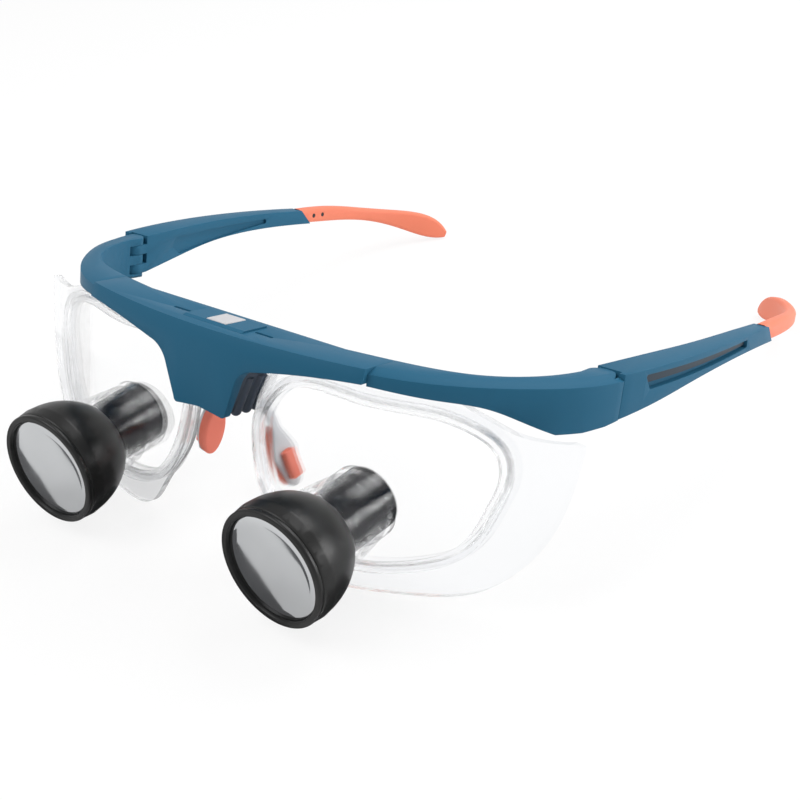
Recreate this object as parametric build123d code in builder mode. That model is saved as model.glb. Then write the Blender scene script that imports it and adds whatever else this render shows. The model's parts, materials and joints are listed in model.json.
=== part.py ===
from build123d import *
from math import cos, radians, sin
import os

os.makedirs("parts", exist_ok=True)

# Dental loupes: a half-rim eyewear frame with a clear wrap shield, two clear framed
# windows, and a magnifying telescope through each window.
# All sizes are millimetres. The row frame has +Z up, the front towards -Y and +X to the
# wearer's left. It stands on a table: on the shield's two lobes and the two temple tips.
# The origin is the middle of the accessory plate's top face.

# Attitude
stand_angle = 14.0          # temples slope down and back by this much on the table
declination = 14.0          # telescopes look down from the temples by this much
convergence = 1.75          # each telescope turns in by this much

# Brow bar
brow_top = -0.5             # height of the bar's top face, below the accessory plate
front_mid = -7.2            # front face at the middle
front_end = -1.9            # front face at the cover's end
cover_half = 37.3           # half length of the centre cover
cover_top_wall = 1.3
cover_front_wall = 2.2
bar_rear = 5.2
bar_low = -7.6              # underside at the middle
bar_low_end = -4.0          # underside at the cover's end
cover_low_end = -3.4
corner_low = -11.0          # lowest point of the end piece
bar_height = 14.0           # more than the end piece is high
end_step = 0.7              # the end piece's front stands back from the cover
shoulder_drop = 1.1         # bevel along the end piece's top outer edge
shoulder_run = 2.4

# Nose panel of the cover
guard_half = 7.2
guard_low = -18.2
guard_low_mid = -17.4
panel_crease = -3.4         # height of the crease under the top facet
panel_crease_out = 0.9      # the crease stands this far forward of the top edge
panel_foot_back = 0.5       # the panel's foot lies this far behind its top edge

# Clear parts
shield_mid = 1.6            # middle surface of the shield on the centre line
shield_radius = 170.0
shield_wall = 1.8
shield_half = 74.1
strip_drop = 0.9            # the strip that joins the lobes hangs this far under the bar
groove_depth = 1.2
rim_wall = 3.6              # window rim's depth
rim_width = 2.4
rim_lip = 1.2               # the rim laps the shield by this much
lens_wall = 1.6
lens_lap = 0.9              # the carrier lens goes this far into the rim
fit_gap = 0.05

# Telescopes
scope_x = 31.8
scope_y = -18.1
scope_z = -38.4
ring_radius = 12.8
ring_front = -0.5
ring_back = 0.6
ring_bore = 11.4
glass_radius = 12.0
glass_seat = 1.9            # front edge of the objective glass behind the bell's mouth plane
glass_edge = 3.0
glass_bulge = 0.6
glass_margin = 1.4          # plain rim round each glass's domed faces
spacer_length = 1.7
spacer_wall = 1.2
bell_radius = 13.1
bell_band = 3.0
bell_band_end = 5.2
bell_band_radius = 12.9
bell_shoulder = 9.4
bell_shoulder_radius = 11.8
bell_neck_radius = 8.9
bell_length = 14.0
bell_wall = 1.2
barrel_radius = 7.0
barrel_wall = 1.1
barrel_start = 11.0
barrel_behind = 6.1         # the barrel stands this far behind the lens's middle surface
collar_front_radius = 9.3
collar_rear_radius = 7.6
collar_start = 15.0
collar_reach = 28.0
eyepiece_recess = 1.2
eyepiece_edge = 2.2
eyepiece_bulge = 0.4
eye_ring_radius = 8.1
eye_ring_behind = 4.4

# Hinges
pin_x = 66.8
pin_y = 36.0
pin_radius = 0.7
pin_gap = 0.04
pin_top = -1.3
pin_low = -10.4
knuckle_radius = 2.9
knuckle_gap = 0.15
finger_gap = 0.08
finger_levels = (-2.3, -4.7, -7.1, -9.5)
parting_y = 37.7
parting_gap = 0.15
outer_x = 71.2              # outer face at the parting

# Temples
tail_top_y = 106.4          # top of the slanted end
tail_low_y = 110.8          # bottom of the slanted end
tail_top = -1.0
tail_low = -5.2
pocket_depth = 1.3
pocket_front_y = 44.6
pocket_rear_y = 91.6
inlay_wall = 0.6
inlay_height = 2.0
inner_pocket_depth = 0.8
core_radius = 0.5
core_front_y = 96.0
core_back_y = 121.0
core_x = 72.3
core_z = -3.1
tip_round = 0.36            # corner radius as a share of the tip's thickness
tip_pin_radius = 0.6
tip_pin_depth = 0.8
tip_pin_ys = (112.4, 116.4)
tip_pin_x = 70.7
tip_pin_z = -3.0

# Nose pads
pad_x = 10.7
pad_y = 8.4
pad_z = -28.5
pad_length = 14.0
pad_width = 6.4
pad_wall = 2.0
pad_round = 0.8
arm_wall = 0.9
plate_long = 14.4
plate_wide = 6.4
plate_drop = -0.6           # widest place of the plate, above the pad's middle
plate_foot = 1.8            # radius of the plate's lower end
boss_drop = 2.0             # the boss lies this far below the pad's middle
arm_width = 2.2
boss_length = 6.2
boss_width = 3.0
boss_stand = 1.4
boss_corner = 0.4

# Nose bridge
bridge_rear = 4.4
bridge_low = -17.5
bridge_inset = 0.6          # its sides stand in from the nose panel's by this much
bridge_wall = 2.6
arch_top = -11.0
rib_radius = 1.2
rib_ys = (-2.6, 0.4, 3.2)
rib_lean = 1.1
bridge_screw_x = 5.6
bridge_screw_y = -2.0
bridge_screw_radius = 0.7
bridge_screw_reach = 2.6    # into the bar

# Accessory plate and its housing
plate_width = 5.6
plate_depth = 6.0
plate_wall = 1.1
housing_half = 8.1
housing_rear = 3.2
housing_front = -4.2
housing_ramp = 0.9
housing_top = -0.15
housing_seat = 1.1          # how deep it sits in the cover
slot_start = 8.9
slot_end = 13.6
slot_width = 0.9
slot_depth = 0.8
slot_y = -1.1

tilt = radians(stand_angle)
up = Vector(0, sin(tilt), cos(tilt))
back = Vector(0, cos(tilt), -sin(tilt))
right = Vector(1, 0, 0)
deep = 60                   # longer than any piece that a cut passes through
beyond = shield_half + 6    # further out than the shield and the end pieces
band_half = shield_half + 1.9


def at(x, y, z):
    """A point given in the frame's own level directions: right, back and up."""
    return right * x + back * y + up * z


def level(height):
    """Plan plane of the frame, parallel to the brow bar's top."""
    return Plane(origin=at(0, 0, height), x_dir=right, z_dir=up)


def side(x):
    """Side plane of the frame: its own x runs back and its own y runs up."""
    return Plane(origin=at(x, 0, 0), x_dir=back, z_dir=right)


def front(y):
    """Front plane of the frame: its own x runs right and its own y runs up."""
    return Plane(origin=at(0, y, 0), x_dir=right, z_dir=-back)


def keep(name, shape):
    """Label a finished piece and write its file."""
    shape.label = name
    export_step(shape, f"parts/{name}.step")


def keep_pair(name, shape):
    """Write a left piece and its mirror image for the right."""
    keep(name + "_left", shape)
    keep(name + "_right", mirror(shape, about=Plane.YZ))


# Outlines that pieces share, for the left half
inner_x = pin_x - knuckle_radius
skin_x = pin_x + knuckle_radius + knuckle_gap
swing_y = pin_y - knuckle_radius - knuckle_gap
outer_wall = [(cover_half, front_end + end_step), (48.3, 4.0), (60.3, 15.4), (67.4, 26.0), (outer_x, parting_y)]
inner_wall = [(27.0, bar_rear), (42.0, 8.6), (52.7, 13.6), (58.6, 20.0), (62.0, 26.5), (inner_x, swing_y)]
lower_edge = [(14.0, -6.3), (24.0, -4.6), (cover_half, bar_low_end), (50.0, -4.8), (57.0, -5.9),
              (61.0, -8.0), (65.6, corner_low)]
corner_edge = [(68.5, corner_low), (70.4, -10.4), (72.5, -8.6)]
window_outline = [(8.7, -21.0), (10.6, -30.5), (17.0, -40.6), (29.0, -44.8), (46.0, -42.1), (57.4, -35.2),
                  (62.2, -24.5), (63.0, -14.0), (56.0, -8.4), (34.0, -7.4), (15.0, -8.9)]
shield_outline = [(9.8, -12.5), (8.2, -21.0), (10.0, -31.0), (16.6, -41.4), (20.9, -47.7), (31.7, -49.3),
                  (47.0, -47.0), (59.0, -43.4), (68.6, -33.6), (73.2, -19.0), (shield_half, -11.5)]
shield_brow = [(53.6, -6.1), (57.5, -7.6), (62.0, -9.3), (67.0, -9.9), (72.4, -9.4)]
temple_outer = [(outer_x, parting_y + parting_gap), (73.6, 52.0), (75.0, 70.0), (75.0, 92.0), (74.0, 113.0)]
temple_inner = [(inner_x, pin_y), (66.6, 52.0), (69.2, 70.0), (70.4, 92.0), (70.6, 113.0)]
temple_top = [(30.0, brow_top), (60.0, brow_top + 0.5), (88.0, brow_top + 0.2), (tail_top_y, tail_top)]
temple_low = [(tail_low_y, tail_low), (93.0, -4.6), (76.0, -4.9), (62.0, -6.1), (51.0, -7.7), (40.0, -9.3),
              (30.0, -10.6)]
tip_stations = [(72.5, 101.0, -2.8, 3.4, 4.2), (72.4, 110.0, -2.9, 3.3, 4.3), (72.0, 120.0, -3.2, 3.0, 4.4),
                (70.2, 132.0, -4.0, 3.0, 3.8), (66.0, 143.0, -5.3, 3.1, 4.6), (60.0, 151.6, -7.0, 3.1, 6.6),
                (53.6, 158.6, -9.9, 2.0, 2.0)]
front_radius = (cover_half**2 + (front_end - front_mid)**2) / (2 * (front_end - front_mid))
bar_axis = Axis(at(0, front_mid + front_radius, 0), up)


def bar_y(x, inset):
    """The bar's front face at x in plan, moved inwards by the inset."""
    return front_mid + front_radius - ((front_radius - inset) ** 2 - x * x) ** 0.5


def shield_y(x, offset):
    """Where the shield's curved middle lies at x in plan, or a surface behind it by the offset."""
    return shield_mid + shield_radius - ((shield_radius - offset) ** 2 - x * x) ** 0.5


def plan_band(near, far, x_low, x_high, height):
    """A curved band in plan, between two surfaces parallel to the shield's middle."""
    x_mid = (x_low + x_high) / 2
    with BuildSketch(level(height)) as band:
        with BuildLine():
            a = ThreePointArc(*[(x, shield_y(x, near)) for x in (x_low, x_mid, x_high)])
            b = ThreePointArc(*[(x, shield_y(x, far)) for x in (x_low, x_mid, x_high)])
            Line(a @ 0, b @ 0)
            Line(a @ 1, b @ 1)
        make_face()
    return band.sketch


def window_face(inset):
    """The left window's outline moved inwards, on a plane in front of it."""
    line = Spline(*window_outline, periodic=True)
    steps = 2 * len(window_outline)
    points = []
    for i in range(steps):
        along = line % (i / steps)
        points.append(line @ (i / steps) + Vector(-along.Y, along.X, 0) * inset)
    with BuildSketch(front(-deep / 3)) as face:
        with BuildLine():
            Spline(*points, periodic=True)
        make_face()
    return face.sketch


def frame_plan(inset):
    """The frame seen from above, with its front edge moved inwards between the end pieces."""
    with BuildSketch(level(brow_top)) as plan:
        with BuildLine():
            arc = ThreePointArc(*[(x, bar_y(x, inset)) for x in (0, cover_half / 2, cover_half)])
            Line(arc @ 1, outer_wall[0])
            wall = Spline(*outer_wall)
            Polyline(wall @ 1, (skin_x, parting_y), (skin_x, pin_y), (inner_x, pin_y), (inner_x, swing_y))
            Spline(*reversed(inner_wall))
            Polyline(inner_wall[0], (0, bar_rear), arc @ 0)
        make_face()
        mirror(about=Plane.YZ)
    return plan.sketch


def shield_face(gap):
    """Everything under the shield's top edge, with the edge raised by the gap."""
    with BuildSketch(front(-deep / 3)) as face:
        with BuildLine():
            top = [(x, z + groove_depth + gap) for x, z in lower_edge[:4]]
            middle = bar_low + groove_depth + gap
            Polyline((0, -deep), (0, middle), (11.0, middle), top[0])
            Spline(*top)
            outer = Spline(top[-1], *[(x, z + gap) for x, z in shield_brow])
            Polyline(outer @ 1, (beyond, shield_brow[-1][1] - 2), (beyond, -deep), (0, -deep))
        make_face()
        mirror(about=Plane.YZ)
    return face.sketch


def shield_slot(gap):
    """Room for the shield under its top edge, with a gap all round."""
    with BuildPart() as slot:
        extrude(plan_band(-shield_wall / 2 - gap, shield_wall / 2 + gap, -band_half, band_half, -deep),
                amount=2 * deep)
        extrude(shield_face(gap), amount=-2 * deep, mode=Mode.INTERSECT)
    return slot.part


def shoulder_plan(height, inset):
    """The frame's outer wall moved inwards, closed straight across behind the hinges."""
    wall = Spline(*outer_wall)
    steps = 2 * len(outer_wall)
    points = []
    for i in range(steps + 1):
        along = wall % (i / steps)
        points.append(wall @ (i / steps) + Vector(-along.Y, along.X, 0) * inset)
    with BuildSketch(level(height)) as plan:
        with BuildLine():
            line = Spline(*points)
            Polyline(line @ 1, (points[-1].X, deep), (0, deep), (0, front_mid), line @ 0)
        make_face()
        mirror(about=Plane.YZ)
    return plan.sketch


# Bevel along the end pieces' outer edges
with BuildPart() as bevelled:
    add(shoulder_plan(brow_top - shoulder_drop, 0))
    add(shoulder_plan(brow_top, shoulder_run))
    loft(ruled=True)
    extrude(shoulder_plan(brow_top - shoulder_drop, 0), amount=-bar_height)
shoulder = bevelled.part

# Brow bar: the frame's core with both end pieces and their hinge fingers
shield_room = shield_slot(fit_gap)
with BuildPart() as brow_bar:
    extrude(frame_plan(cover_front_wall + fit_gap), amount=-bar_height)
    with BuildSketch(level(brow_top)):
        with Locations((pin_x, pin_y), (-pin_x, pin_y)):
            Circle(knuckle_radius)
    extrude(amount=-bar_height)
    add(shoulder, mode=Mode.INTERSECT)
    with BuildSketch(front(-deep / 3)):
        with BuildLine():
            Polyline((0, deep), (0, bar_low), (11.2, bar_low), lower_edge[0])
            Spline(*lower_edge)
            Polyline(lower_edge[-1], *corner_edge, (beyond, corner_edge[-1][1]), (beyond, deep), (0, deep))
        make_face()
        mirror(about=Plane.YZ)
    extrude(amount=-2 * deep, mode=Mode.INTERSECT)
    with BuildSketch(level(brow_top - cover_top_wall - fit_gap)):
        Rectangle(2 * (cover_half + fit_gap), deep)
    extrude(amount=deep, mode=Mode.SUBTRACT)
    for high, low in (finger_levels[:2], finger_levels[2:]):
        with BuildSketch(level(high + finger_gap / 2)):
            for sign in (1, -1):
                with BuildLine():
                    Polyline((sign * (inner_x - 5), swing_y), (sign * skin_x, swing_y),
                             (sign * skin_x, pin_y + 5), (sign * (inner_x - 5), pin_y + 5), close=True)
                make_face()
        extrude(amount=low - high - finger_gap, mode=Mode.SUBTRACT)
    with BuildSketch(level(pin_top)):
        with Locations((pin_x, pin_y), (-pin_x, pin_y)):
            Circle(pin_radius + pin_gap)
    extrude(amount=-deep, mode=Mode.SUBTRACT)
    add(shield_room, mode=Mode.SUBTRACT)
    with BuildSketch(level(-deep)):
        with Locations((bridge_screw_x, bridge_screw_y), (-bridge_screw_x, bridge_screw_y)):
            Circle(bridge_screw_radius + fit_gap)
    extrude(amount=deep + bar_low + bridge_screw_reach + fit_gap, mode=Mode.SUBTRACT)
keep("brow_bar", brow_bar.part)

# Accessory housing: a low block in the cover's top, ramped at its front
with BuildPart() as accessory_housing:
    with BuildSketch(side(-housing_half)):
        with BuildLine():
            Polyline((housing_front, brow_top - housing_seat), (housing_front, brow_top),
                     (housing_front + housing_ramp, housing_top), (housing_rear, housing_top),
                     (housing_rear, brow_top - housing_seat), close=True)
        make_face()
    extrude(amount=2 * housing_half)
    with BuildSketch(level(-plate_wall)):
        Rectangle(plate_width + 2 * fit_gap, plate_depth + 2 * fit_gap)
    extrude(amount=2 * plate_wall, mode=Mode.SUBTRACT)
keep("accessory_housing", accessory_housing.part)

with BuildPart() as accessory_plate:
    with BuildSketch(level(0)):
        Rectangle(plate_width, plate_depth)
    extrude(amount=-plate_wall)
    chamfer(accessory_plate.faces().sort_by(Axis(at(0, 0, 0), up))[-1].edges(), length=0.2)
keep("accessory_plate", accessory_plate.part)

# Centre cover: a channel over the bar with the nose panel hanging from it
with BuildPart() as brow_cover:
    with BuildSketch(side(0)):
        with BuildLine():
            Polyline((front_mid, brow_top), (front_mid - panel_crease_out, panel_crease),
                     (front_mid + panel_foot_back, guard_low - 1), (front_mid + cover_front_wall, guard_low - 1),
                     (front_mid + cover_front_wall, brow_top), close=True)
        make_face()
    revolve(axis=bar_axis)
    extrude(frame_plan(0), amount=-cover_top_wall)
    with BuildSketch(front(-deep / 3)):
        with BuildLine():
            Polyline((0, deep), (cover_half, deep), (cover_half, cover_low_end))
            low = Spline((cover_half, cover_low_end), (24.5, -4.5), (14.2, -6.4))
            neck = ThreePointArc(low @ 1, (11.0, -7.9), (9.5, -10.4))
            flank = Line(neck @ 1, (guard_half, guard_low + 0.9))
            corner = ThreePointArc(flank @ 1, (guard_half - 0.3, guard_low + 0.2), (guard_half - 1.1, guard_low))
            Spline(corner @ 1, (3.4, (guard_low + guard_low_mid) / 2), (0, guard_low_mid))
            Line((0, guard_low_mid), (0, deep))
        make_face()
        mirror(about=Plane.YZ)
    extrude(amount=-deep, mode=Mode.INTERSECT)
    with BuildSketch(level(brow_top - housing_seat - fit_gap)):
        with Locations((0, (housing_front + housing_rear) / 2)):
            Rectangle(2 * (housing_half + fit_gap), housing_rear - housing_front + 2 * fit_gap)
    extrude(amount=deep, mode=Mode.SUBTRACT)
    with BuildSketch(level(brow_top - slot_depth)):
        with Locations(((slot_start + slot_end) / 2, slot_y), (-(slot_start + slot_end) / 2, slot_y)):
            SlotOverall(slot_end - slot_start, slot_width)
    extrude(amount=deep, mode=Mode.SUBTRACT)
keep("brow_cover", brow_cover.part)

# Clear wrap shield, one sheet with a window for each rim
with BuildPart() as shield:
    extrude(plan_band(-shield_wall / 2, shield_wall / 2, -band_half, band_half, -deep), amount=2 * deep)
    extrude(shield_face(0), amount=-2 * deep, mode=Mode.INTERSECT)
    with BuildSketch(front(-deep / 3)):
        with BuildLine():
            Polyline((0, 0), (shield_half, 0), shield_outline[-1])
            Spline(*reversed(shield_outline))
            Polyline(shield_outline[0], (10.9, -9.8), (10.9, bar_low - strip_drop),
                     (0, bar_low - strip_drop), (0, 0))
        make_face()
        mirror(about=Plane.YZ)
    extrude(amount=-2 * deep, mode=Mode.INTERSECT)
    window = window_face(rim_lip)
    extrude(window, amount=-2 * deep, mode=Mode.SUBTRACT)
    extrude(mirror(window, about=Plane.YZ, mode=Mode.PRIVATE), amount=-2 * deep, mode=Mode.SUBTRACT)
keep("shield", shield.part)

# Window rim: an H-section ring that laps the shield and holds the carrier lens
with BuildPart() as window_rim:
    extrude(window_face(0), amount=-2 * deep)
    extrude(window_face(rim_width), amount=-2 * deep, mode=Mode.SUBTRACT)
    extrude(plan_band(-rim_wall / 2, rim_wall / 2, 0, band_half, -deep), amount=deep, mode=Mode.INTERSECT)
    with BuildPart(mode=Mode.PRIVATE) as shield_channel:
        extrude(plan_band(-shield_wall / 2 - fit_gap, shield_wall / 2 + fit_gap, 0, band_half, -deep),
                amount=deep)
        extrude(window_face(rim_lip + fit_gap), amount=-2 * deep, mode=Mode.SUBTRACT)
    with BuildPart(mode=Mode.PRIVATE) as lens_channel:
        extrude(plan_band(-lens_wall / 2 - fit_gap, lens_wall / 2 + fit_gap, 0, band_half, -deep),
                amount=deep)
        extrude(window_face(rim_width - lens_lap - fit_gap), amount=-2 * deep, mode=Mode.INTERSECT)
    add(shield_channel.part, mode=Mode.SUBTRACT)
    add(lens_channel.part, mode=Mode.SUBTRACT)
keep_pair("window_rim", window_rim.part)

# Telescope directions: rearward along its axis, and across it
turn = radians(convergence)
dip = radians(declination)
scope_origin = at(scope_x, scope_y, scope_z)
rearward = at(sin(turn), cos(turn) * cos(dip), cos(turn) * sin(dip))
across = (right - rearward * rearward.dot(right)).normalized()
scope_axis = Axis(scope_origin, rearward)
crossing = (shield_y(scope_x, 0) - scope_y) / (cos(turn) * cos(dip))
barrel_end = crossing + barrel_behind
eye_ring_end = crossing + eye_ring_behind
scope_plane = Plane(origin=scope_origin, x_dir=across, z_dir=across.cross(rearward))


def turned(*points):
    """A ring or disc about the telescope's axis from (radius, distance behind the mouth) points."""
    with BuildPart() as ring:
        with BuildSketch(scope_plane):
            with BuildLine():
                Polyline(*points, close=True)
            make_face()
        revolve(axis=scope_axis)
    return ring.part


def lens_disc(radius, start, edge, bulge):
    """A glass disc with a plain edge and two gently domed faces."""
    flat = radius - glass_margin
    sphere = (flat**2 + bulge**2) / (2 * bulge)
    half_way = (sphere**2 - flat**2 / 4) ** 0.5 - sphere + bulge
    with BuildPart() as disc:
        with BuildSketch(scope_plane):
            with BuildLine():
                Line((0, start - bulge), (0, start + edge + bulge))
                ThreePointArc((0, start + edge + bulge), (flat / 2, start + edge + half_way),
                              (flat, start + edge))
                Polyline((flat, start + edge), (radius, start + edge), (radius, start), (flat, start))
                ThreePointArc((flat, start), (flat / 2, start - half_way), (0, start - bulge))
            make_face()
        revolve(axis=scope_axis)
    return disc.part


# Objective bell with its front ring, glass and spacer
bore = glass_radius + fit_gap
spacer_start = glass_seat + glass_edge
spacer_end = spacer_start + spacer_length
socket = barrel_radius + fit_gap
socket_start = bell_length - bell_wall - 0.6
with BuildPart() as objective_housing:
    with BuildSketch(scope_plane):
        with BuildLine():
            Polyline((bore, spacer_end), (bore, ring_back), (ring_radius, ring_back), (bell_radius, bell_band),
                     (bell_band_radius, bell_band_end))
            ThreePointArc((bell_band_radius, bell_band_end), (bell_shoulder_radius, bell_shoulder),
                          (bell_neck_radius, bell_length))
            Polyline((bell_neck_radius, bell_length), (socket, bell_length), (socket, socket_start),
                     (bell_shoulder_radius - bell_wall, bell_shoulder - bell_wall / 2),
                     (glass_radius - spacer_wall, spacer_end), (bore, spacer_end))
        make_face()
    revolve(axis=scope_axis)
keep_pair("objective_housing", objective_housing.part)
keep_pair("objective_ring", turned(
    (ring_bore, ring_front), (ring_radius - 0.3, ring_front), (ring_radius, ring_front + 0.3),
    (ring_radius, ring_back), (glass_radius, ring_back), (glass_radius, glass_seat), (ring_bore, glass_seat)))
keep_pair("objective_lens", lens_disc(glass_radius, glass_seat, glass_edge, glass_bulge))
keep_pair("lens_spacer", turned(
    (glass_radius - spacer_wall, spacer_start), (glass_radius, spacer_start), (glass_radius, spacer_end),
    (glass_radius - spacer_wall, spacer_end)))

# Barrel through the carrier lens, with its collar, eye ring and eyepiece glass
keep_pair("barrel", turned(
    (barrel_radius - barrel_wall, barrel_start), (barrel_radius, barrel_start), (barrel_radius, barrel_end - 0.3),
    (barrel_radius - 0.3, barrel_end), (barrel_radius - barrel_wall, barrel_end)))
keep_pair("eyepiece_lens", lens_disc(barrel_radius - barrel_wall - fit_gap,
                                     barrel_end - eyepiece_recess - eyepiece_edge, eyepiece_edge, eyepiece_bulge))

with BuildPart() as carrier_lens:
    extrude(window_face(rim_width - lens_lap), amount=-2 * deep)
    extrude(plan_band(-lens_wall / 2, lens_wall / 2, 0, band_half, -deep), amount=deep, mode=Mode.INTERSECT)
    with BuildSketch(Plane(origin=scope_origin, x_dir=across, z_dir=rearward)):
        Circle(socket)
    extrude(amount=deep, mode=Mode.SUBTRACT)
keep_pair("carrier_lens", carrier_lens.part)

with BuildPart() as lens_collar:
    add(turned((socket, collar_start), (collar_front_radius - 0.4, collar_start),
               (collar_front_radius, collar_start + 0.4), (collar_rear_radius, collar_reach),
               (socket, collar_reach)))
    extrude(plan_band(-lens_wall / 2, deep, 0, band_half, -deep), amount=deep, mode=Mode.SUBTRACT)
keep_pair("lens_collar", lens_collar.part)

with BuildPart() as eyepiece_ring:
    add(turned((socket, collar_start), (eye_ring_radius, collar_start), (eye_ring_radius, eye_ring_end - 0.4),
               (eye_ring_radius - 0.4, eye_ring_end), (socket, eye_ring_end)))
    extrude(plan_band(-deep, lens_wall / 2, 0, band_half, -deep), amount=deep, mode=Mode.SUBTRACT)
keep_pair("eyepiece_ring", eyepiece_ring.part)


def temple_skin(line, near, far):
    """A strip in plan that follows one face of the temple, between two depths from it."""
    with BuildSketch(level(-deep)) as skin:
        with BuildLine():
            a = Spline(*[(x + near, y) for x, y in line])
            b = Spline(*[(x + far, y) for x, y in line])
            Line(a @ 0, b @ 0)
            Line(a @ 1, b @ 1)
        make_face()
    return skin.sketch


def pocket_tool(line, near, far, corners):
    """Part of a temple face's skin inside a four-cornered outline in side view."""
    with BuildPart() as tool:
        extrude(temple_skin(line, near, far), amount=2 * deep)
        with BuildSketch(side(0)):
            with BuildLine():
                Polyline(*corners, close=True)
            make_face()
            fillet(vertices(), radius=0.5)
        extrude(amount=2 * deep, mode=Mode.INTERSECT)
    return tool.part


# Temple with its outer pocket and its shallow inner one
tail_lean = (tail_low_y - tail_top_y) / (tail_top - tail_low)
outer_pocket = [(pocket_front_y, -1.3), (pocket_rear_y, -1.4), (pocket_rear_y + 0.5, -3.3), (46.8, -4.6)]
inlay_outline = [(pocket_front_y + 0.2, -1.4), (pocket_rear_y - 0.1, -1.5), (pocket_rear_y - 0.1, -2.7),
                 (46.3, -1.3 - inlay_height)]
inner_pocket = [(49.6, -4.6), (51.0, -2.3), (90.4, -1.9), (90.8, -3.1), (53.0, -6.9)]
with BuildPart() as temple:
    with BuildSketch(level(deep / 6)):
        with BuildLine():
            skin = Spline(*temple_outer)
            inner = Spline(*reversed(temple_inner))
            Line(skin @ 1, inner @ 0)
            Polyline(inner @ 1, (skin_x, pin_y), (skin_x, parting_y + parting_gap), skin @ 0)
        make_face()
        with Locations((pin_x, pin_y)):
            Circle(knuckle_radius)
    extrude(amount=-deep)
    with BuildSketch(side(0)):
        with BuildLine():
            top = Spline(*temple_top)
            low = Spline(*temple_low)
            Line(top @ 1, low @ 0)
            Line(low @ 1, top @ 0)
        make_face()
    extrude(amount=2 * deep, mode=Mode.INTERSECT)
    for high, low in ((deep, finger_levels[0]), finger_levels[1:3], (finger_levels[3], -deep)):
        with BuildSketch(level(high + finger_gap / 2)):
            with BuildLine():
                Polyline((inner_x - 5, swing_y - 5), (skin_x, swing_y - 5),
                         (skin_x, pin_y + knuckle_radius + knuckle_gap),
                         (inner_x - 5, pin_y + knuckle_radius + knuckle_gap), close=True)
            make_face()
        extrude(amount=low - high - finger_gap, mode=Mode.SUBTRACT)
    with BuildSketch(level(deep)):
        with Locations((pin_x, pin_y)):
            Circle(pin_radius + pin_gap)
    extrude(amount=-2 * deep, mode=Mode.SUBTRACT)
    add(pocket_tool(temple_outer, -pocket_depth, 2, outer_pocket), mode=Mode.SUBTRACT)
    add(pocket_tool(temple_inner, -2, inner_pocket_depth, inner_pocket), mode=Mode.SUBTRACT)
    with BuildSketch(Plane(origin=at(core_x, core_front_y - fit_gap, core_z), x_dir=right, z_dir=back)):
        Circle(core_radius + fit_gap)
    extrude(amount=deep, mode=Mode.SUBTRACT)
keep_pair("temple", temple.part)
keep_pair("temple_inlay", pocket_tool(temple_outer, -pocket_depth, inlay_wall - pocket_depth, inlay_outline))

# Hinge pin
with BuildPart() as hinge_pin:
    with BuildSketch(level(pin_top - fit_gap)):
        with Locations((pin_x, pin_y)):
            Circle(pin_radius)
    extrude(amount=pin_low - pin_top + fit_gap)
keep_pair("hinge_pin", hinge_pin.part)

# Temple tip, bent down and in behind the ear, with its wire core and its two pins
with BuildPart() as temple_tip:
    places = [at(x, y, z) for x, y, z, thickness, height in tip_stations]
    for i, (x, y, z, thickness, height) in enumerate(tip_stations):
        run = places[min(i + 1, len(places) - 1)] - places[max(i - 1, 0)]
        with BuildSketch(Plane(origin=places[i], x_dir=run.cross(up), z_dir=run)):
            RectangleRounded(thickness, height, thickness * tip_round)
    loft()
    with BuildSketch(side(0)):
        with BuildLine():
            Polyline((deep, 6), (tail_top_y - (6 - tail_top) * tail_lean, 6),
                     (tail_low_y + (tail_low + 12) * tail_lean, -12), (deep, -12), close=True)
        make_face()
    extrude(amount=2 * deep, mode=Mode.SUBTRACT)
    with BuildSketch(Plane(origin=at(core_x, core_front_y, core_z), x_dir=right, z_dir=back)):
        Circle(core_radius + fit_gap)
    extrude(amount=core_back_y - core_front_y + fit_gap, mode=Mode.SUBTRACT)
    for y in tip_pin_ys:
        with BuildSketch(Plane(origin=at(tip_pin_x + tip_pin_depth, y, tip_pin_z), x_dir=back, z_dir=-right)):
            Circle(tip_pin_radius + fit_gap)
        extrude(amount=5, mode=Mode.SUBTRACT)
keep_pair("temple_tip", temple_tip.part)

with BuildPart() as tip_core:
    with BuildSketch(Plane(origin=at(core_x, core_front_y, core_z), x_dir=right, z_dir=back)):
        Circle(core_radius)
    extrude(amount=core_back_y - core_front_y)
keep_pair("tip_core", tip_core.part)

with BuildPart() as tip_pins:
    for y in tip_pin_ys:
        with BuildSketch(Plane(origin=at(tip_pin_x + tip_pin_depth, y, tip_pin_z), x_dir=back, z_dir=-right)):
            Circle(tip_pin_radius)
        extrude(amount=tip_pin_depth)
keep_pair("tip_pins", tip_pins.part)

# Nose pads: a soft pad whose boss passes through the arm's plate
pad_down = at(4.0, 3.6, -12.6).normalized()
pad_wide = (back - pad_down * back.dot(pad_down)).normalized()
pad_in = pad_wide.cross(pad_down)
pad_plane = Plane(origin=at(pad_x, pad_y, pad_z), x_dir=pad_wide, z_dir=pad_in)
with BuildPart() as nose_pad:
    with BuildSketch(pad_plane):
        Ellipse(pad_width / 2, pad_length / 2)
    extrude(amount=pad_wall)
    fillet(nose_pad.faces().sort_by(Axis(pad_plane.origin, pad_in))[-1].edges(), radius=pad_round)
    with BuildSketch(pad_plane):
        with Locations((0, boss_drop)):
            RectangleRounded(boss_width, boss_length, boss_corner)
    extrude(amount=-arm_wall - boss_stand)
keep_pair("nose_pad", nose_pad.part)

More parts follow.
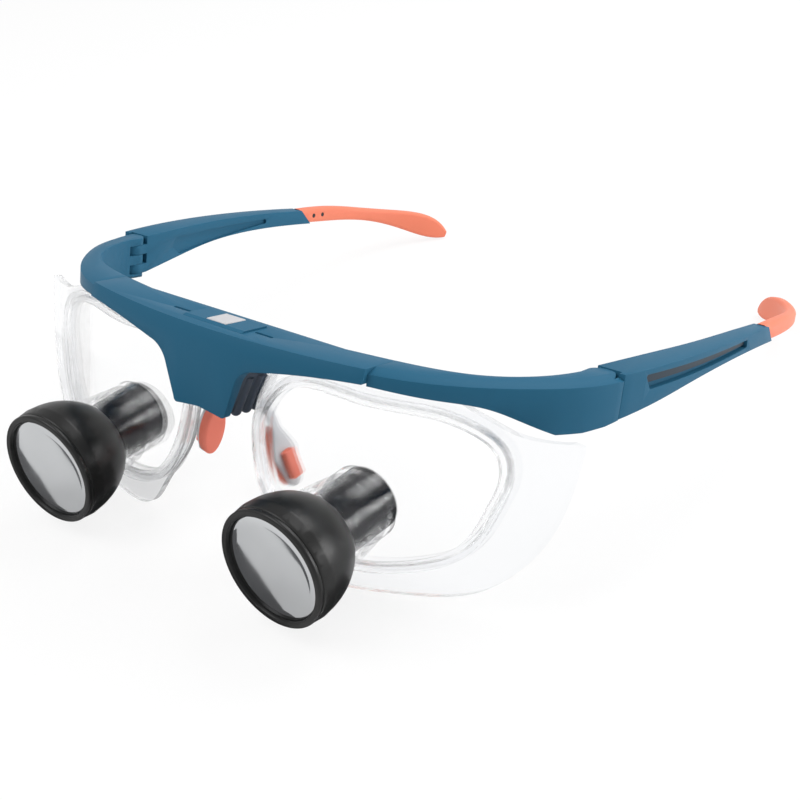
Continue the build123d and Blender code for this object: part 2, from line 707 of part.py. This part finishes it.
with BuildPart() as arm_strip:
    with BuildLine():
        root = at(6.2, 2.4, -14.2)
        path = Spline(root, at(7.6, 4.8, -17.6), at(pad_x, pad_y, pad_z) - pad_down * 5.0 - pad_in * arm_wall / 2)
    with BuildSketch(Plane(origin=path @ 0, x_dir=back, z_dir=path % 0)):
        Rectangle(arm_width, arm_wall * 0.9)
    sweep()
with BuildPart() as pad_arm:
    add(arm_strip.part)
    with BuildSketch(pad_plane):
        with Locations((0, plate_drop)):
            Circle(plate_wide / 2)
        with Locations((0, plate_long / 2 - plate_foot)):
            Circle(plate_foot)
        with Locations((0, arm_width / 2 - plate_long / 2)):
            Circle(arm_width / 2)
        make_hull()
    extrude(amount=-arm_wall)
    with BuildSketch(pad_plane):
        with Locations((0, boss_drop)):
            RectangleRounded(boss_width + 2 * fit_gap, boss_length + 2 * fit_gap, boss_corner + fit_gap)
    extrude(amount=2 * pad_wall, both=True, mode=Mode.SUBTRACT)
keep_pair("pad_arm", pad_arm.part)

# Nose bridge: a ribbed saddle behind the nose panel, screwed up into the bar
with BuildPart() as nose_bridge:
    with BuildSketch(level(bar_low - fit_gap)):
        with BuildLine():
            inset = cover_front_wall + fit_gap
            face = ThreePointArc(*[(x, bar_y(x, inset)) for x in (-11, 0, 11)])
            Polyline(face @ 1, (11, bridge_rear), (-11, bridge_rear), face @ 0)
        make_face()
    extrude(amount=-bar_height)
    with BuildSketch(front(-deep / 3)):
        foot = guard_half - bridge_inset
        with BuildLine():
            Polyline((0, arch_top), (0, deep), (10.3, deep), (10.3, bar_low))
            ThreePointArc((10.3, bar_low), (9.3, -9.0), (8.7, -10.6))
            Polyline((8.7, -10.6), (foot, bridge_low), (foot - bridge_wall, bridge_low - 0.4),
                     (foot - bridge_wall, -13.4))
            ThreePointArc((foot - bridge_wall, -13.4), (2.8, -11.7), (0, arch_top))
        make_face()
        mirror(about=Plane.YZ)
    extrude(amount=-2 * deep, mode=Mode.INTERSECT)
    for sign in (1, -1):
        for y in rib_ys:
            rib_start = at(sign * 8.2, y + rib_lean, -9.8)
            rib_end = at(sign * (foot - 0.1), y, bridge_low + 0.2)
            with BuildSketch(Plane(origin=rib_start, z_dir=rib_end - rib_start)):
                Circle(rib_radius)
            extrude(amount=(rib_end - rib_start).length)
            with Locations(rib_end):
                Sphere(rib_radius)
    extrude(plan_band(-shield_wall / 2 - fit_gap, shield_wall / 2 + fit_gap, -12, 12,
                      bar_low - strip_drop - fit_gap), amount=deep, mode=Mode.SUBTRACT)
    with BuildSketch(level(-deep)):
        with Locations((bridge_screw_x, bridge_screw_y), (-bridge_screw_x, bridge_screw_y)):
            Circle(bridge_screw_radius + fit_gap)
    extrude(amount=2 * deep, mode=Mode.SUBTRACT)
    add(pad_arm.part, mode=Mode.SUBTRACT)
    add(pad_arm.part.mirror(Plane.YZ), mode=Mode.SUBTRACT)
keep("nose_bridge", nose_bridge.part)

# Screws that hold the bridge up against the bar
with BuildPart() as bridge_screws:
    for sign in (1, -1):
        seat = at(sign * bridge_screw_x, bridge_screw_y, arch_top)
        with BuildSketch(Plane(origin=seat, x_dir=right, z_dir=up)):
            Circle(bridge_screw_radius)
        extrude(amount=bar_low + bridge_screw_reach - arch_top)
keep("bridge_screws", bridge_screws.part)
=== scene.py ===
import bpy
import json
from math import cos, pi, radians, sin
from mathutils import Matrix, Vector


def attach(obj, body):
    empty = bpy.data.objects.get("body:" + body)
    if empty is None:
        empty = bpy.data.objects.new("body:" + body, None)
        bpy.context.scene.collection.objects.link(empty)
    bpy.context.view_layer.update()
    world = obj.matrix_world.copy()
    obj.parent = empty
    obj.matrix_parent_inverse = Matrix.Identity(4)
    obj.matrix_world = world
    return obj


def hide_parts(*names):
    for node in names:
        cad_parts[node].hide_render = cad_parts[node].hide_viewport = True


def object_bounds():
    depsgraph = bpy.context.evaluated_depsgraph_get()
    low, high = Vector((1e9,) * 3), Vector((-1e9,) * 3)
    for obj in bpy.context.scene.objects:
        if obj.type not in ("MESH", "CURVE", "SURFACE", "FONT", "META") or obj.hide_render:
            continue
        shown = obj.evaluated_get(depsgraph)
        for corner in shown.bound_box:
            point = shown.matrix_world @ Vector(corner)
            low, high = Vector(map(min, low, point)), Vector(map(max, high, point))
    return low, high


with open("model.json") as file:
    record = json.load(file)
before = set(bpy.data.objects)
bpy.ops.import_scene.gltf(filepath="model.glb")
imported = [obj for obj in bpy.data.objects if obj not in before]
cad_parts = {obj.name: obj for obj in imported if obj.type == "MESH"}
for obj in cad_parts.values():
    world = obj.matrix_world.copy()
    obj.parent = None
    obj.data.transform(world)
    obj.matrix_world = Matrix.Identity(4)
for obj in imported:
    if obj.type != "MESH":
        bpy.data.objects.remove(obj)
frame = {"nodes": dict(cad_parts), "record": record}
cad_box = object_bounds()

# Lengths are in metres. The frame's own level directions are tilted on the table.
MM = 0.001
STAND_ANGLE = radians(14)
UP = Vector((0, sin(STAND_ANGLE), cos(STAND_ANGLE)))
BACK = Vector((0, cos(STAND_ANGLE), -sin(STAND_ANGLE)))
RIGHT = Vector((1, 0, 0))
floor_height = cad_box[0][2]


def at(x, y, z):
    """A point given in the frame's own level directions, in metres."""
    return RIGHT * x + BACK * y + UP * z


# Camera: the photograph is taken from the wearer's front left, a little above
FOCAL_LENGTH = 58.5
SENSOR = 36.0
camera_place = at(0.17342, -0.18826, 0.07195)
camera_forward = at(-0.53551, 0.78185, -0.31928).normalized()
camera_right = at(0.80116, 0.58991, 0.10079).normalized()


# Finishes
PATCH_SCALE = 60             # broad patches of tone in a moulded skin
PATCH_DETAIL = 4
GRAIN_DETAIL = 3
COAT_ROUGHNESS = 0.12
WIPE_SCALE = 90              # broad changes of gloss on clear plastic
WIPE_SPREAD = 0.3

# The rings behind the carrier lenses look clear in the photograph, like the collars
CLEAR_RINGS = ("eyepiece_ring_left", "eyepiece_ring_right")

# Telescopes: place of each mouth and direction of its axis, in the level directions
SCOPE_X, SCOPE_Y, SCOPE_Z = 31.8 * MM, -18.1 * MM, -38.4 * MM
CONVERGENCE = radians(1.75)
DECLINATION = radians(14)
GLASS_REAR = 4.9 * MM        # distances behind the mouth plane
GLASS_SEAT = 1.9 * MM
GLASS_FRONT = 0.35 * MM
GLASS_RADIUS = 11.95 * MM
CROWN_RADIUS = 11.35 * MM
CROWN_RINGS = ((0.35, 0.20), (2.0, 0.16), (2.5, 0.12), (2.5, 0.07), (2.2, 0.02))     # inset and rise, mm
GLASS_SIDES = 96

# Rolled edges: their width on each moulded or turned piece
ROLLED_PAIRS = {"temple": 0.35 * MM, "temple_tip": 0.5 * MM, "nose_pad": 0.4 * MM, "pad_arm": 0.2 * MM,
                "objective_housing": 0.3 * MM, "objective_ring": 0.15 * MM, "barrel": 0.15 * MM}
ROLLED = {"brow_bar": 0.35 * MM, "brow_cover": 0.4 * MM, "accessory_plate": 0.2 * MM, "nose_bridge": 0.2 * MM}
SHARP_ANGLE = radians(32)    # edges sharper than this are rolled
SMOOTH_ANGLE = radians(38)
GLASS_SMOOTH_ANGLE = radians(30)
FLAT_ANGLE = radians(0.6)    # facets flatter than this are one face
MERGE_DISTANCE = 0.002 * MM
ROLL_SEGMENTS = 2

# Studio: lamps by place, size and power, in metres and watts
LAMPS = {"key": ((-0.25, -0.35, 0.65), 0.5, 3.0), "side": ((0.62, 0.42, 0.14), 0.34, 2.6),
         "rear": ((0.12, 0.50, 0.62), 0.5, 3.4)}
WORLD_LIGHT = 0.5
WORLD_SEEN = 1.0
FLOOR_SIZE = 6
FLOOR_GLOW = 0.85
SHADE_CARD_LIFT = 0.1 * MM
# Dark cards on the floor, in mm, which only glossy rays see: painted reflections of shade in the glass. Their
# edges make the straight line and the crescent in each glass
SHADE_REFLECTION_CARDS = {"near_shade_reflection_card": [(-16, -46.5), (-10, -45), (14, -38), (32, -30), (60, -18), (60, 70), (-16, 70)],
         "far_shade_reflection_card": [(-140, -66), (-80, -48), (-53, -39), (-35, -30), (-17, -22), (-17, 70), (-140, 70)]}
# Crescent cards: painted reflections of shade inside each front ring, which only glossy rays see
SHADE_CRESCENT_CARDS = {"near_shade_crescent_card": (1, -34, 32.5), "far_shade_crescent_card": (-66, -35, 33.5)}      # centre and radius
CRESCENT_SPAN = (-105, -14)     # degrees
CRESCENT_WIDTH = 9
CRESCENT_STEPS = 24


def add_camera():
    """The camera of the photograph."""
    data = bpy.data.cameras.new("camera")
    data.lens = FOCAL_LENGTH
    data.sensor_width = SENSOR
    data.sensor_fit = "HORIZONTAL"
    data.clip_start = 0.01
    camera = bpy.data.objects.new("camera", data)
    bpy.context.collection.objects.link(camera)
    camera_up = camera_right.cross(camera_forward)
    turn = Matrix((camera_right, camera_up, -camera_forward)).transposed()
    camera.matrix_world = Matrix.Translation(camera_place) @ turn.to_4x4()
    bpy.context.scene.camera = camera


# Shader node groups

def new_group(name, inputs, outputs):
    """An empty node group with named sockets: (name, kind, default)."""
    group = bpy.data.node_groups.new(name, "ShaderNodeTree")
    for label, kind, default in inputs:
        socket = group.interface.new_socket(label, in_out="INPUT", socket_type=kind)
        socket.default_value = default
    for label, kind in outputs:
        group.interface.new_socket(label, in_out="OUTPUT", socket_type=kind)
    start = group.nodes.new("NodeGroupInput")
    end = group.nodes.new("NodeGroupOutput")
    return group, start, end


def moulded_finish():
    """Fine moulded skin: slight mottling of colour and gloss, and a faint grain height."""
    group, start, end = new_group(
        "moulded_finish",
        [("Color", "NodeSocketColor", (0.5, 0.5, 0.5, 1)), ("Roughness", "NodeSocketFloat", 0.4),
         ("Grain Scale", "NodeSocketFloat", 2500.0), ("Mottle", "NodeSocketFloat", 0.08)],
        [("Color", "NodeSocketColor"), ("Roughness", "NodeSocketFloat"), ("Height", "NodeSocketFloat")])
    nodes, links = group.nodes, group.links
    place = nodes.new("ShaderNodeTexCoord")
    grain = nodes.new("ShaderNodeTexNoise")
    grain.inputs["Detail"].default_value = GRAIN_DETAIL
    patches = nodes.new("ShaderNodeTexNoise")
    patches.inputs["Scale"].default_value = PATCH_SCALE
    patches.inputs["Detail"].default_value = PATCH_DETAIL
    links.new(place.outputs["Object"], grain.inputs["Vector"])
    links.new(place.outputs["Object"], patches.inputs["Vector"])
    links.new(start.outputs["Grain Scale"], grain.inputs["Scale"])
    shift = nodes.new("ShaderNodeMath")
    shift.operation = "SUBTRACT"
    shift.inputs[1].default_value = 0.5
    links.new(patches.outputs["Fac"], shift.inputs[0])
    amount = nodes.new("ShaderNodeMath")
    amount.operation = "MULTIPLY"
    links.new(shift.outputs[0], amount.inputs[0])
    links.new(start.outputs["Mottle"], amount.inputs[1])
    value = nodes.new("ShaderNodeMath")
    value.operation = "ADD"
    value.inputs[1].default_value = 1.0
    links.new(amount.outputs[0], value.inputs[0])
    tone = nodes.new("ShaderNodeHueSaturation")
    links.new(start.outputs["Color"], tone.inputs["Color"])
    links.new(value.outputs[0], tone.inputs["Value"])
    gloss = nodes.new("ShaderNodeMath")
    gloss.operation = "ADD"
    links.new(start.outputs["Roughness"], gloss.inputs[0])
    links.new(amount.outputs[0], gloss.inputs[1])
    links.new(tone.outputs["Color"], end.inputs["Color"])
    links.new(gloss.outputs[0], end.inputs["Roughness"])
    links.new(grain.outputs["Fac"], end.inputs["Height"])
    return group


moulded_skin = moulded_finish()


def moulded(name, color, roughness, mottle=0.08, bump=0.15, depth=0.00002, grain=2500.0, coat=0.0,
            shine=0.35):
    """A moulded plastic, rubber or anodised skin."""
    material = bpy.data.materials.new(name)
    material.use_nodes = True
    nodes, links = material.node_tree.nodes, material.node_tree.links
    shader = nodes["Principled BSDF"]
    skin = nodes.new("ShaderNodeGroup")
    skin.node_tree = moulded_skin
    skin.inputs["Color"].default_value = (*color, 1)
    skin.inputs["Roughness"].default_value = roughness
    skin.inputs["Grain Scale"].default_value = grain
    skin.inputs["Mottle"].default_value = mottle
    relief = nodes.new("ShaderNodeBump")
    relief.inputs["Strength"].default_value = bump
    relief.inputs["Distance"].default_value = depth
    links.new(skin.outputs["Color"], shader.inputs["Base Color"])
    links.new(skin.outputs["Roughness"], shader.inputs["Roughness"])
    links.new(skin.outputs["Height"], relief.inputs["Height"])
    links.new(relief.outputs["Normal"], shader.inputs["Normal"])
    shader.inputs["Coat Weight"].default_value = coat
    shader.inputs["Coat Roughness"].default_value = COAT_ROUGHNESS
    shader.inputs["Specular IOR Level"].default_value = shine
    return material


def clear(name, color, roughness, index, solidity):
    """Clear polished plastic; a low solidity lets more light straight through."""
    material = bpy.data.materials.new(name)
    material.use_nodes = True
    nodes, links = material.node_tree.nodes, material.node_tree.links
    shader = nodes["Principled BSDF"]
    shader.inputs["Base Color"].default_value = (*color, 1)
    shader.inputs["Transmission Weight"].default_value = 1.0
    shader.inputs["IOR"].default_value = index
    shader.inputs["Alpha"].default_value = solidity
    place = nodes.new("ShaderNodeTexCoord")
    wipe = nodes.new("ShaderNodeTexNoise")
    wipe.inputs["Scale"].default_value = WIPE_SCALE
    links.new(place.outputs["Object"], wipe.inputs["Vector"])
    spread = nodes.new("ShaderNodeMapRange")
    spread.inputs["To Min"].default_value = roughness * (1 - WIPE_SPREAD)
    spread.inputs["To Max"].default_value = roughness * (1 + WIPE_SPREAD)
    links.new(wipe.outputs["Fac"], spread.inputs["Value"])
    links.new(spread.outputs["Result"], shader.inputs["Roughness"])
    return material


def coated_glass(name, color, roughness):
    """Coated objective glass that mirrors its surroundings and hides the dark tube."""
    material = moulded(name, color, roughness, mottle=0.35, bump=0.06, depth=0.00003, grain=900.0)
    material.node_tree.nodes["Principled BSDF"].inputs["Metallic"].default_value = 1.0
    return material


def metal(name, color, roughness):
    """Brushed bare metal of the pins, screws and cores."""
    material = moulded(name, color, roughness, mottle=0.1, bump=0.05)
    material.node_tree.nodes["Principled BSDF"].inputs["Metallic"].default_value = 1.0
    return material


finishes = {
    "frame_blue": moulded("frame_blue", (0.019, 0.106, 0.186), 0.48, mottle=0.05, bump=0.2, shine=0.09),
    "plate_grey": moulded("plate_grey", (0.50, 0.495, 0.51), 0.55),
    "bridge_slate": moulded("bridge_slate", (0.045, 0.060, 0.085), 0.42),
    "clear_shield": clear("clear_shield", (0.94, 0.95, 0.965), 0.03, 1.33, 0.6),
    "clear_rim": clear("clear_rim", (0.95, 0.955, 0.965), 0.16, 1.22, 0.5),
    "clear_lens": clear("clear_lens", (0.985, 0.99, 0.995), 0.01, 1.08, 0.3),
    "clear_collar": clear("clear_collar", (0.96, 0.965, 0.975), 0.08, 1.12, 0.4),
    "black_gloss": moulded("black_gloss", (0.008, 0.008, 0.010), 0.18, mottle=0.05, bump=0.03, coat=0.4),
    "black_satin": moulded("black_satin", (0.006, 0.006, 0.006), 0.33, mottle=0.06, bump=0.06, shine=0.3),
    "glass": coated_glass("glass", (0.50, 0.51, 0.52), 0.07),
    "arm_grey": moulded("arm_grey", (0.56, 0.57, 0.59), 0.45),
    "pad_coral": moulded("pad_coral", (0.80, 0.20, 0.135), 0.55, mottle=0.1, bump=0.3),
    "tip_orange": moulded("tip_orange", (0.76, 0.205, 0.12), 0.5, mottle=0.06, bump=0.25, shine=0.25),
    "inlay_slate": moulded("inlay_slate", (0.020, 0.034, 0.050), 0.45, shine=0.2),
    "pin_black": moulded("pin_black", (0.015, 0.015, 0.016), 0.4),
    "steel": metal("steel", (0.55, 0.55, 0.56), 0.3)}


def finish_cad_nodes():
    """Give each node of the frame the finish of its slot."""
    for part in frame["record"]["subparts"]:
        node = part["node"]
        finish = "clear_collar" if node in CLEAR_RINGS else part["material_slot"]
        mesh = frame["nodes"][node].data
        mesh.materials.clear()
        mesh.materials.append(finishes[finish])


def body_of(node):
    """The moving body that carries a node."""
    for body, members in frame["record"]["behaviour"]["bodies"].items():
        if node in members:
            return body


def stand_for(piece, node):
    """The piece rides where the node did, in its place and with its finish."""
    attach(piece, body_of(node))
    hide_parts(node)


def crowned_glass(node, side):
    """Objective glass whose crown fills the front ring, in place of the plain disc."""
    rearward = at(side * sin(CONVERGENCE), cos(CONVERGENCE) * cos(DECLINATION),
                  cos(CONVERGENCE) * sin(DECLINATION)).normalized()
    mouth = at(side * SCOPE_X, SCOPE_Y, SCOPE_Z)
    bpy.ops.object.select_all(action="DESELECT")
    bpy.ops.mesh.primitive_circle_add(vertices=GLASS_SIDES, radius=GLASS_RADIUS, fill_type="NGON",
                                      location=mouth + rearward * GLASS_REAR,
                                      rotation=(-rearward).to_track_quat("Z", "Y").to_euler())
    piece = bpy.context.object
    piece.name = node + "_crown"
    bpy.ops.object.transform_apply(location=True, rotation=True, scale=True)
    bpy.ops.object.mode_set(mode="EDIT")
    bpy.ops.mesh.select_all(action="SELECT")
    bpy.ops.mesh.extrude_region_move(
        TRANSFORM_OT_translate={"value": rearward * (GLASS_SEAT - GLASS_REAR)})
    bpy.ops.mesh.inset(thickness=GLASS_RADIUS - CROWN_RADIUS)
    bpy.ops.mesh.extrude_region_move(
        TRANSFORM_OT_translate={"value": rearward * (GLASS_FRONT - GLASS_SEAT)})
    for inset, rise in CROWN_RINGS:
        bpy.ops.mesh.inset(thickness=inset * MM, depth=rise * MM)
    bpy.ops.mesh.select_all(action="SELECT")
    bpy.ops.mesh.normals_make_consistent(inside=False)
    bpy.ops.object.mode_set(mode="OBJECT")
    bpy.ops.object.shade_smooth_by_angle(angle=GLASS_SMOOTH_ANGLE)
    piece.data.materials.append(finishes["glass"])
    stand_for(piece, node)


def soften(node, width):
    """Stand a copy of a node with rolled edges in the node's place."""
    source = frame["nodes"][node]
    bpy.ops.object.select_all(action="DESELECT")
    piece = bpy.data.objects.new(node + "_soft", source.data.copy())
    bpy.context.collection.objects.link(piece)
    piece.select_set(True)
    bpy.context.view_layer.objects.active = piece
    bpy.ops.object.mode_set(mode="EDIT")
    bpy.ops.mesh.select_all(action="SELECT")
    bpy.ops.mesh.remove_doubles(threshold=MERGE_DISTANCE)
    bpy.ops.mesh.dissolve_limited(angle_limit=FLAT_ANGLE)
    bpy.ops.mesh.select_all(action="DESELECT")
    bpy.ops.object.mode_set(mode="OBJECT")
    rounding = piece.modifiers.new("rolled edges", "BEVEL")
    rounding.width = width
    rounding.segments = ROLL_SEGMENTS
    rounding.limit_method = "ANGLE"
    rounding.angle_limit = SHARP_ANGLE
    rounding.use_clamp_overlap = True
    bpy.ops.object.modifier_apply(modifier=rounding.name)
    bpy.ops.object.shade_smooth_by_angle(angle=SMOOTH_ANGLE)
    stand_for(piece, node)


def soften_edges():
    """Moulded and turned pieces have rolled edges, not knife edges."""
    for side in ("_left", "_right"):
        for node, width in ROLLED_PAIRS.items():
            soften(node + side, width)
    for node, width in ROLLED.items():
        soften(node, width)


def add_shade_reflection_card(name, corners):
    """A dark card on the floor under the front, which only the glossy pieces see: a painted reflection of
    shade in the glass.
    """
    mesh = bpy.data.meshes.new(name)
    mesh.from_pydata([(x * MM, y * MM, floor_height + SHADE_CARD_LIFT) for x, y in corners], [],
                     [tuple(range(len(corners)))])
    card = bpy.data.objects.new(name, mesh)
    bpy.context.collection.objects.link(card)
    card.visible_camera = False
    card.visible_diffuse = False
    card.visible_transmission = False
    card.visible_shadow = False
    paper = bpy.data.materials.new(name)
    paper.use_nodes = True
    shader = paper.node_tree.nodes["Principled BSDF"]
    # Dark card colour: painted shade, seen only as a painted reflection in the glass
    shader.inputs["Base Color"].default_value = (0.12, 0.12, 0.125, 1)
    shader.inputs["Roughness"].default_value = 0.8
    mesh.materials.append(paper)


def ray_share(tree, kinds, strength):
    """A value that is the strength on the named kinds of ray, and 0 on the others."""
    path = tree.nodes.new("ShaderNodeLightPath")
    share = path.outputs[kinds[0]]
    for kind in kinds[1:]:
        either = tree.nodes.new("ShaderNodeMath")
        either.operation = "MAXIMUM"
        tree.links.new(share, either.inputs[0])
        tree.links.new(path.outputs[kind], either.inputs[1])
        share = either.outputs[0]
    scaled = tree.nodes.new("ShaderNodeMath")
    scaled.operation = "MULTIPLY"
    scaled.inputs[1].default_value = strength
    tree.links.new(share, scaled.inputs[0])
    return scaled.outputs[0]


def mix_by_ray(tree, plain, seen, surface, share):
    """Blend a surface's plain shader with the one that is seen."""
    mix = tree.nodes.new("ShaderNodeMixShader")
    tree.links.new(share, mix.inputs["Fac"])
    tree.links.new(plain, mix.inputs[1])
    tree.links.new(seen, mix.inputs[2])
    tree.links.new(mix.outputs[0], surface)


def add_world():
    """Even light that is seen as white."""
    world = bpy.data.worlds.new("studio")
    bpy.context.scene.world = world
    world.use_nodes = True
    tree = world.node_tree
    light = tree.nodes["Background"]
    light.inputs["Color"].default_value = (1, 1, 1, 1)
    light.inputs["Strength"].default_value = WORLD_LIGHT
    seen = tree.nodes.new("ShaderNodeBackground")
    seen.inputs["Strength"].default_value = WORLD_SEEN
    share = ray_share(tree, ("Is Camera Ray", "Is Transmission Ray", "Is Glossy Ray"), 1.0)
    mix_by_ray(tree, light.outputs[0], seen.outputs[0], tree.nodes["World Output"].inputs["Surface"], share)


def add_floor():
    """Pale floor that keeps the shadow."""
    bpy.ops.mesh.primitive_plane_add(size=FLOOR_SIZE, location=(0, 0, floor_height))
    floor = bpy.context.object
    floor.name = "floor"
    paper = bpy.data.materials.new("white_paper")
    paper.use_nodes = True
    tree = paper.node_tree
    shader = tree.nodes["Principled BSDF"]
    shader.inputs["Base Color"].default_value = (0.9, 0.9, 0.9, 1)
    shader.inputs["Roughness"].default_value = 0.9
    bright = tree.nodes.new("ShaderNodeEmission")
    surface = tree.nodes["Material Output"].inputs["Surface"]
    share = ray_share(tree, ("Is Camera Ray", "Is Transmission Ray"), FLOOR_GLOW)
    mix_by_ray(tree, shader.outputs[0], bright.outputs[0], surface, share)
    floor.data.materials.append(paper)


def add_lamps():
    """Soft studio lamps that point at the origin."""
    for name, (place, size, power) in LAMPS.items():
        data = bpy.data.lights.new(name, "AREA")
        data.size = size
        data.energy = power
        lamp = bpy.data.objects.new(name, data)
        bpy.context.collection.objects.link(lamp)
        lamp.location = place
        lamp.rotation_euler = (-Vector(place)).to_track_quat("-Z", "Y").to_euler()


def crescent(x, y, radius):
    """Corners of a crescent card for a painted reflection of shade, widest in the middle of its span."""
    first, last = CRESCENT_SPAN
    outer, inner = [], []
    for step in range(CRESCENT_STEPS + 1):
        share = step / CRESCENT_STEPS
        angle = radians(first + (last - first) * share)
        depth = radius - CRESCENT_WIDTH * sin(pi * share)
        outer.append((x + radius * cos(angle), y + radius * sin(angle)))
        inner.append((x + depth * cos(angle), y + depth * sin(angle)))
    return outer + inner[-2:0:-1]


add_camera()
finish_cad_nodes()
soften_edges()
crowned_glass("objective_lens_left", 1)
crowned_glass("objective_lens_right", -1)
add_world()
add_floor()
add_lamps()
bpy.context.scene.view_settings.view_transform = "Standard"
# Dark cards under the frame: a painted reflection of shade, the straight dark line in each glass
for name, corners in SHADE_REFLECTION_CARDS.items():
    add_shade_reflection_card(name, corners)
# Crescent cards: a painted reflection of shade, the dark crescent inside each front ring
for name, (x, y, radius) in SHADE_CRESCENT_CARDS.items():
    add_shade_reflection_card(name, crescent(x, y, radius))
